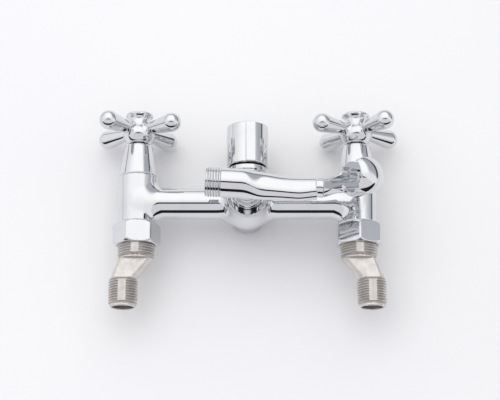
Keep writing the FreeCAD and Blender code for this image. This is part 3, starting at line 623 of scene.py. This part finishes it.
def elbowField(points):
    plan = elbowPlan
    x = points[:, 0]
    tilt = math.radians(plan["tilt"])
    wide, thin, sag = (easedThrough(x, plan["stations"], plan[key]) for key in ("wide", "thin", "sag"))
    y = points[:, 1] + sag
    broad = y * math.cos(tilt) - points[:, 2] * math.sin(tilt)
    narrow = y * math.sin(tilt) + points[:, 2] * math.cos(tilt)
    limb = ovalField(broad, narrow, wide, thin)
    limb = roundMeet(limb, np.maximum(plan["armBack"] - x, x - plan["arm"]), 0.3)
    limb = np.minimum(limb, rod(points, *plan["pivotStub"]))
    neck = roundJoin(rod(points, *plan["collar"]), rod(points, *plan["neck"]), 0.4)
    neck = np.minimum(neck, rod(points, *plan["shank"]))
    shape = roundJoin(limb, neck, plan["neckFillet"])
    shape = np.minimum(shape, rod(points, *plan["threadCore"]))
    rooms = np.minimum(emptied(points, plan["rooms"]), np.linalg.norm(points, axis=1) - plan["chamber"])
    return roundCut(shape, rooms, 0.25)


def addElbow():
    low, high = (-29.5, -12, -38), (53, 12, 12)
    elbow = castPiece("showerElbow", elbowField, low, high, elbowPlan["cell"], elbowPlace)
    dress(elbow, "chrome", "elbow", "shower_elbow")


addElbow()

threadPlan = {
    "pitch": 1.814, "steps": 96, "rows": 14,  # rows along the axis in each pitch
    "foot": 0.15, "crest": 0.42, "hidden": 0.6,  # how far a sleeve's inside lies under its root
    "runOut": 0.8,  # of a pitch, where the thread fades out at its ends
    "grooveShadeStrength": 0.55,  # how much darker the grooves are painted, as painted shade
    "hose": (9.4, 10.48, -28.4, -18.1),  # root and crest radius, low and high end
}


def threadSleeve(name, root, major, low, high, flat, place):
    # A sleeve whose outside is a wound thread, which has a narrow flat land front and back if flat isn't 0
    plan = threadPlan
    pitch, steps = plan["pitch"], plan["steps"]
    rows = int((high - low) / pitch * plan["rows"]) + 1
    turns = np.arange(steps) / steps
    places = np.linspace(low, high, rows)
    phase = (places[:, None] / pitch + turns[None, :]) % 1.0
    corners = (0, plan["foot"], plan["crest"], 1 - plan["crest"], 1 - plan["foot"], 1)
    rise = np.interp(phase, corners, (0, 0, 1, 1, 0, 0))
    rise = rise * rise * (3 - 2 * rise)
    ends = np.clip(np.minimum(places - low, high - places) / (plan["runOut"] * pitch), 0, 1)
    radius = root + (major - root) * rise * ends[:, None]
    angle = turns * 2 * math.pi
    if flat:  # the grooves are filled at the land
        depth = math.sqrt(major ** 2 - (flat / 2) ** 2)
        land = (np.abs(major * np.cos(angle)) < flat / 2)[None, :] * (ends[:, None] > 0.9)
        radius = np.where(land, depth / np.maximum(np.abs(np.sin(angle)), 0.5)[None, :], radius)
    grooves = np.clip((major - radius) / (major - root), 0, 1)
    inner = np.full((1, steps), root - plan["hidden"])
    radius = np.concatenate([inner, radius, inner])
    grooves = np.concatenate([inner * 0, grooves, inner * 0])
    places = np.concatenate([places[:1], places, places[-1:]])
    points = np.stack([radius * np.cos(angle), np.repeat(places[:, None], steps, 1), radius * np.sin(angle)], -1)
    count = len(places)
    numbers = np.arange(count * steps).reshape(count, steps)
    quads = []
    for row in range(count):  # the last row joins the first, so that the sleeve closes inside
        after = (row + 1) % count
        this, other = numbers[row], numbers[after]
        quads.append(np.stack([this, other, np.roll(other, -1), np.roll(this, -1)], 1))
    sleeve = meshPiece(name, points.reshape(-1, 3), np.concatenate(quads), None, place)
    marks = sleeve.data.attributes.new("groove", "FLOAT", "POINT")  # the finishes paint shade into the grooves with it
    marks.data.foreach_set("value", plan["grooveShadeStrength"] * grooves.reshape(-1))
    return sleeve


def hosePlace(points, isNormal=False):
    # A sleeve built along Y goes along the elbow's own X
    return elbowPlace(np.stack([points[:, 1], -points[:, 0], points[:, 2]], 1), isNormal)


def addHoseThread():
    sleeve = threadSleeve("hoseThread", *threadPlan["hose"], 0, hosePlace)
    dress(sleeve, "chrome", "elbow")


addHoseThread()
print("elbow cast and threaded")

nutPlan = {
    "flats": 30.0, "corner": 0.8, "back": -31.0, "front": -15.5, "face": 15.4,
    "bore": 13.27, "lip": 2.5, "lipBore": 10.25,
    "cold": 9.0, "hot": 30.0,  # how far each nut has turned
    "cell": 0.5,
}


def nutField(turn):
    plan = nutPlan

    def field(points):
        for step in range(3):
            angle = math.radians(30 + 60 * step - turn)
            face = np.abs(points[:, 0] * math.cos(angle) + points[:, 2] * math.sin(angle)) - plan["flats"] / 2
            sides = roundMeet(sides, face, plan["corner"]) if step else face
        radius = np.hypot(points[:, 0], points[:, 2])
        inward = np.maximum(points[:, 1] - plan["front"], plan["back"] - points[:, 1])
        cones = (radius - plan["face"] + inward) * math.sqrt(0.5)
        shape = roundMeet(roundMeet(sides, cones, 0.5), inward, 0.4)
        bore = np.maximum(radius - plan["bore"], points[:, 1] - plan["front"] + plan["lip"])
        return roundCut(shape, np.minimum(bore, radius - plan["lipBore"]), 0.3)
    return field


def addNut(side, across):
    low, high = (-19, -33, -19), (19, -13, 19)
    nut = castPiece(side + "UnionNut", nutField(nutPlan[side]), low, high, nutPlan["cell"], placed(across))
    dress(nut, "chrome", "mixer_body", side + "_union_nut")


eachSide(addNut)
print("nuts made")

unionPlan = {
    "top": -22.5, "threadEnd": -39.8, "neckStart": -40.7, "neckEnd": -55.5, "legThreadEnd": -73.5, "legEnd": -75.5,
    "offset": 8.5, "topCore": 12.2, "undercut": 11.6, "neckRadii": (12.2, 9.5), "legCore": 9.4, "tip": 9.1,
    "halfThick": 7.1, "bores": (8.6, 5.3, 7.6), "boreEnds": (-37.0, -58.0), "borePast": 2.5,
    "unionThread": (12.3, 13.22), "legThread": (9.5, 10.48), "flat": 5.5, "overlap": 0.5,
    "neckSlope": 0.88,  # the sloping neck's field rises this much slower than its distance
    "margin": (20, -77.5, -21, 14),  # the space meshed: to each side, from back to front, above and below
    "cell": 0.55,
}


def unionField(points, outward=1):
    plan = unionPlan
    points = points * np.array([outward, 1, 1])
    leg = shifted(points, x=plan["offset"])
    share = np.clip((points[:, 1] - plan["neckStart"]) / (plan["neckEnd"] - plan["neckStart"]), 0, 1)
    radius = plan["neckRadii"][0] + (plan["neckRadii"][1] - plan["neckRadii"][0]) * share
    neck = (np.hypot(points[:, 0] - plan["offset"] * share, points[:, 2]) - radius) * plan["neckSlope"]
    neck = roundMeet(neck, np.maximum(points[:, 1] - plan["neckStart"], plan["neckEnd"] - points[:, 1]), 0.5)
    neck = roundMeet(neck, np.abs(points[:, 2]) - plan["halfThick"], 0.9)
    shape = np.minimum(rod(points, 1, plan["topCore"], plan["threadEnd"], plan["top"], 0.5),
                       rod(points, 1, plan["undercut"], plan["neckStart"] - 0.4, plan["threadEnd"] + 0.4, 0.2))
    shape = roundJoin(shape, neck, 0.5)
    into = plan["overlap"]  # how far one part of the casting reaches into the next
    shape = roundJoin(shape, rod(leg, 1, plan["legCore"], plan["legThreadEnd"], plan["neckEnd"] + into, 0.2), 0.5)
    shape = np.minimum(shape, rod(leg, 1, plan["tip"], plan["legEnd"], plan["legThreadEnd"] + into, 0.6))
    first, second, third = plan["bores"]
    high, low = plan["boreEnds"]
    past = plan["borePast"]
    rooms = np.minimum(rod(points, 1, first, high, plan["top"] + past),
                       rod(leg, 1, third, plan["legEnd"] - past, low))
    start, run = np.array([0, high, 0]), np.array([plan["offset"], low - high, 0])
    along = np.clip((points - start) @ run / (run @ run), 0, 1)
    rooms = np.minimum(rooms, np.linalg.norm(points - start - along[:, None] * run, axis=1) - second)
    return roundCut(shape, rooms, 0.3)


def addUnion(side, across):
    plan, outward = unionPlan, -1 if side == "cold" else 1

    def field(points):
        return unionField(points, outward)
    centre = plan["offset"] * outward / 2
    beside, back, front, above = plan["margin"]
    low, high = (centre - beside, back, -above), (centre + beside, front, above)
    casting = castPiece(side + "EccentricUnion", field, low, high, plan["cell"], placed(across))
    top = threadSleeve(side + "UnionThread", *plan["unionThread"], plan["threadEnd"], plan["top"], plan["flat"],
                       placed(across))
    leg = threadSleeve(side + "WallThread", *plan["legThread"], plan["legThreadEnd"], plan["neckEnd"], plan["flat"],
                       placed(across + plan["offset"] * outward))
    dress(casting, "cast_nickel", "mixer_body", side + "_eccentric_union")
    dress(top, "cast_nickel", "mixer_body")
    dress(leg, "cast_nickel", "mixer_body")


eachSide(addUnion)
print("unions cast and threaded")

holderPlan = {
    "places": (51.8, 55.3, 59.4, 64.2, 67.6, 71.8),  # along the neck, with its middle and its half sizes there
    "forward": (0.0, 1.0, 3.4, 6.9, 8.3, 8.9),
    "rise": (0.0, -0.5, -2.0, -4.3, -5.3, -4.8),
    "wide": (6.4, 6.15, 6.2, 8.1, 9.5, 10.6),
    "thin": (6.4, 5.8, 4.7, 4.0, 3.6, 3.2),
    "mouthPlace": (70.1, 7.2, 8.2), "axis": (-0.85, -0.19, 0.48), "rim": 11.8, "tubeLength": 10.0,
    "mouth": 11.1, "seat": 9.9, "depth": 13.5, "hole": 7.1, "slot": 6.9, "slotPlace": 0.7,
    "ballPlace": (75.0, 8.1, 0.75), "ballAxis": (0.476, -0.054, 0.877),  # the cup's upright part and its dome
    "ball": 17.5, "body": 12.6, "foot": -8.0, "footEdge": 4.0,
    "pin": (0, 4.0, 42.8, 53, 0.2), "neckFillet": 2.0, "cell": 0.5,
}


def unit(vector):
    return np.array(vector) / np.linalg.norm(vector)


def holderField(points):
    plan = holderPlan
    x = points[:, 0]
    forward, rise, wide, thin = (easedThrough(x, plan["places"], plan[key], 1.0)
                                 for key in ("forward", "rise", "wide", "thin"))
    neck = ovalField(points[:, 1] - forward, points[:, 2] - rise, wide, thin)
    neck = roundMeet(neck, np.maximum(plan["places"][0] - x, x - plan["places"][-1]), 0.3)
    axis, up = unit(plan["axis"]), unit(plan["ballAxis"])
    q = points - np.array(plan["mouthPlace"])
    along = q @ axis  # out of the mouth
    side = np.linalg.norm(q - along[:, None] * axis, axis=1)
    tube = roundMeet(side - plan["rim"], np.maximum(along, -plan["tubeLength"] - along), 0.4)
    fromBall = points - np.array(plan["ballPlace"])
    height = fromBall @ up
    around = np.linalg.norm(fromBall - height[:, None] * up, axis=1) - plan["body"]
    dome = np.linalg.norm(fromBall, axis=1) - plan["ball"]
    body = roundMeet(roundMeet(around, dome, 0.35), plan["foot"] - height, plan["footEdge"])
    cup = roundJoin(tube, roundMeet(body, along, 0.4), 0.4)
    shape = roundJoin(neck, cup, plan["neckFillet"])
    shape = np.minimum(shape, rod(points, *plan["pin"]))
    socket = side - (plan["mouth"] - (plan["seat"] - plan["mouth"]) * along / plan["depth"])
    socket = np.maximum(socket, -along - plan["depth"])
    entry = np.maximum(side - plan["mouth"], -along)
    across = unit(np.array([0, 1, 0]) - axis * axis[1])
    beside = q @ np.cross(axis, across)
    slot = np.maximum(np.abs(beside - plan["slotPlace"]) - plan["slot"], -(q @ across))
    rooms = np.minimum(np.minimum(socket, side - plan["hole"]), np.minimum(entry, slot))
    return roundCut(shape, rooms, 0.35)


def addHolder():
    low, high = (42, -14, -14), (94, 23, 20)
    holder = castPiece("handsetHolder", holderField, low, high, holderPlan["cell"], elbowPlace)
    dress(holder, "chrome", "holder", "handset_holder")


addHolder()
print("holder cast")

knobPlan = {
    "radius": 15.0, "low": 27.3, "high": 57.7, "edge": 0.9, "rib": (7.0, 0.9), "ribFoot": 8, "ribTurn": 9.0,
    "skirtRoom": (1, 13.0, 20, 52.4, 0.5), "hub": (1, 6.5, 38.0, 53.5),
    "holes": [(1, 2.4, 37, 59), (1, 9.55, 56.2, 60, 0.1), (1, 4.2, 54.4, 60)],  # screw, cap seat and screw head
    "square": (3.15, 35.6, 52.4),  # half width, start and end of the square on the stem
    "cell": 0.5,
}


def knobField(points):
    plan = knobPlan
    turn = math.radians(plan["ribTurn"])
    x = points[:, 0] * math.cos(turn) - points[:, 2] * math.sin(turn)
    z = points[:, 0] * math.sin(turn) + points[:, 2] * math.cos(turn)
    barrel = np.hypot(x, z) - plan["radius"]
    width, proud = plan["rib"]
    foot = plan["ribFoot"]
    rib = roundMeet(np.abs(x) - width / 2, np.abs(z - foot) - (plan["radius"] + proud - foot), 0.25)
    side = np.minimum(barrel, rib)
    ends = np.abs(points[:, 1] - (plan["low"] + plan["high"]) / 2) - (plan["high"] - plan["low"]) / 2
    shape = roundMeet(side, ends, plan["edge"])
    shape = np.minimum(np.maximum(shape, -rod(points, *plan["skirtRoom"])), rod(points, *plan["hub"]))
    half, start, end = plan["square"]
    square = np.maximum(np.abs(x), np.abs(z)) - half
    square = np.maximum(square, np.abs(points[:, 1] - (start + end) / 2) - (end - start) / 2)
    return roundCut(shape, np.minimum(emptied(points, plan["holes"]), square), 0.15)


def addKnob():
    low, high = (-17.5, 26, -17.5), (17.5, 59, 17.5)
    knob = castPiece("diverterKnob", knobField, low, high, knobPlan["cell"], placed(0))
    dress(knob, "chrome", "diverter", "diverter_knob")


addKnob()
print("knob cast")

# The room, as the chrome shows it: a wide bright panel over the handles, a calm pale lavender screen upright
# towards the wall with a thin black line along its top and a black foot, and a dim right side
studioPlan = {
    "panel": (1.0, 1.0, 1.0, 1),
    "panelFoot": (0.78, 0.78, 0.79, 1),  # the panel just above the black line
    "power": 1.30,
    "screen": (0.635, 0.625, 0.66, 1),
    "black": (0.012, 0.012, 0.014, 1),
    "leftSide": (0.72, 0.73, 0.75, 1),
    "rightSide": (0.38, 0.39, 0.42, 1),
    "far": (0.19, 0.20, 0.21, 1),
    "seen": (0.93, 0.935, 0.945, 1),
    # Where each begins and ends, in degrees: lean counts from the camera's own line away from the wall, level
    # counts up from the floor, and roll from straight up to the right
    "tilt": 16.5,  # how far the camera leans from straight up, towards the wall
    "panelLean": (8.0, 42.0), "panelEnd": (76.0, 96.0), "panelLeft": 0.1,
    "lineLow": (0.3, 2.5), "lineHigh": (10.0, 14.0), "screenTop": 0.5,
    "leftRoll": (18.0, 80.0), "rightRoll": (32.0, 52.0), "rightLean": (5.0, 60.0),
    "farLevel": (2.0, 8.0), "rightLevel": (5.0, 9.0), "leftLevel": (2.0, 5.0), "footLevel": (0.5, 3.0),
    # And as heights and half widths at distance 1 towards the wall
    "screenLow": (0.46, 0.54), "footHigh": (0.47, 0.53), "screenWide": (2.13, 2.37), "footWide": (2.75, 3.05),
    "lineWide": (2.1, 3.1), "nearest": 0.02,
    # And as shares of the way round
    "farSide": (0.3, 0.6), "besides": (0.5, 0.7), "rightSideFrom": (-0.1, 0.1),
    "leftFoot": 0.35, "rightFoot": 0.85,  # how strong the dark feet are
}


def addStudio(plan):
    world = bpy.data.worlds.new("studio")
    bpy.context.scene.world = world
    world.use_nodes = True
    tree = Tree(world.node_tree)
    way = tree.add("SeparateXYZ", {}, {"Vector": tree.add("TexCoord", {}, {}, 0)})
    x, y, z = (Wire(tree.tree, way.socket.node.outputs[place]) for place in range(3))
    tilt = math.radians(plan["tilt"])
    up = y * math.cos(tilt) + z * math.sin(tilt)
    near = z * math.cos(tilt) - y * math.sin(tilt)
    lean = up.math("ARCTAN2", up, near) * math.degrees(1)
    level = z.math("ARCSINE", z) * math.degrees(1)
    roll = x.math("ARCTAN2", x, z) * math.degrees(1)
    depth = (-y).math("MAXIMUM", -y, plan["nearest"])
    high, wide = z / depth, abs(x) / depth

    def rising(value, key):
        return tree.band(value, *plan[key])

    def falling(value, key):
        return 1 - tree.band(value, *plan[key])

    inScreen = rising(high, "screenLow") * (lean < plan["screenTop"]) * falling(wide, "screenWide")
    foot = rising(level, "footLevel") * falling(high, "footHigh") * falling(wide, "footWide")
    line = rising(lean, "lineLow") * falling(lean, "lineHigh") * falling(wide, "lineWide")
    full = rising(lean, "panelLean") * (1 - (1 - plan["panelLeft"]) * rising(lean, "panelEnd"))
    left = rising(-roll, "leftRoll")
    right = rising(roll, "rightRoll") * rising(lean, "rightLean")
    farFoot = falling(level, "farLevel") * rising(y, "farSide")
    rightFoot = falling(level, "rightLevel") * rising(x, "besides") * rising(y, "rightSideFrom")
    leftFoot = falling(level, "leftLevel") * rising(-x, "besides")
    colour = tree.blend(full, plan["panelFoot"], plan["panel"])
    colour = tree.blend(left, colour, plan["leftSide"])
    colour = tree.blend(right, colour, plan["rightSide"])
    colour = tree.blend(plan["leftFoot"] * leftFoot, colour, plan["far"])
    colour = tree.blend(farFoot, colour, plan["far"])
    colour = tree.blend(inScreen, colour, plan["screen"])
    colour = tree.blend(plan["rightFoot"] * rightFoot, colour, plan["black"])
    colour = tree.blend(line.math("MAXIMUM", line, foot), colour, plan["black"])
    lit = tree.add("Background", {}, {"Color": colour, "Strength": plan["power"]})
    seen = tree.add("Background", {}, {"Color": plan["seen"], "Strength": 1.0})
    ray = tree.add("LightPath", {}, {}, 0)
    both = tree.add("MixShader", {}, {0: ray, 1: lit, 2: seen})
    tree.add("OutputWorld", {}, {"Surface": both})


addStudio(studioPlan)

lampPlan = {"place": (-0.24, 0.20, 1.60), "size": 1.8, "watts": 12.6}


def addLamp(plan):
    # A soft light from above, a little to the upper left, for the faint shadows low on the right
    light = bpy.data.lights.new("softLamp", "AREA")
    light.shape, light.size, light.energy = "DISK", plan["size"], plan["watts"]
    lamp = bpy.data.objects.new("softLamp", light)
    bpy.context.scene.collection.objects.link(lamp)
    lamp.location = plan["place"]
    lamp.rotation_mode = "QUATERNION"
    lamp.rotation_quaternion = (-Vector(plan["place"])).to_track_quat("-Z", "Y")
    lamp.visible_glossy = False


addLamp(lampPlan)

floorPlan = {
    "height": -0.0004, "size": 3.0,
    "tone": (0.75, 0.75, 0.757, 1), "cloud": (0.74, 0.74, 0.755, 1),
    "rough": 0.6, "cloudRough": 0.1, "grainHeight": 0.00001,
}


def addFloor(plan):
    half = plan["size"] / 2
    mesh = bpy.data.meshes.new("studioFloor")
    corners = [(-half, -half), (half, -half), (half, half), (-half, half)]
    mesh.from_pydata([(x, y, plan["height"]) for x, y in corners], [], [(0, 1, 2, 3)])
    floor = bpy.data.objects.new("studioFloor", mesh)
    bpy.context.scene.collection.objects.link(floor)
    material, tree = newMaterial("paleTable")
    clouds = tree.band(tree.noise(3, 2, 0.5), 0.3, 0.7)
    colour = tree.blend(clouds, plan["tone"], plan["cloud"])
    gloss = plan["rough"] + plan["cloudRough"] * clouds
    finishMaterial(tree, tree.noise(600, 2, 0.5), plan["grainHeight"],
                   {"Base Color": colour, "Roughness": gloss, "Metallic": 0.0})
    mesh.materials.append(material)


addFloor(floorPlan)
print("studio made")
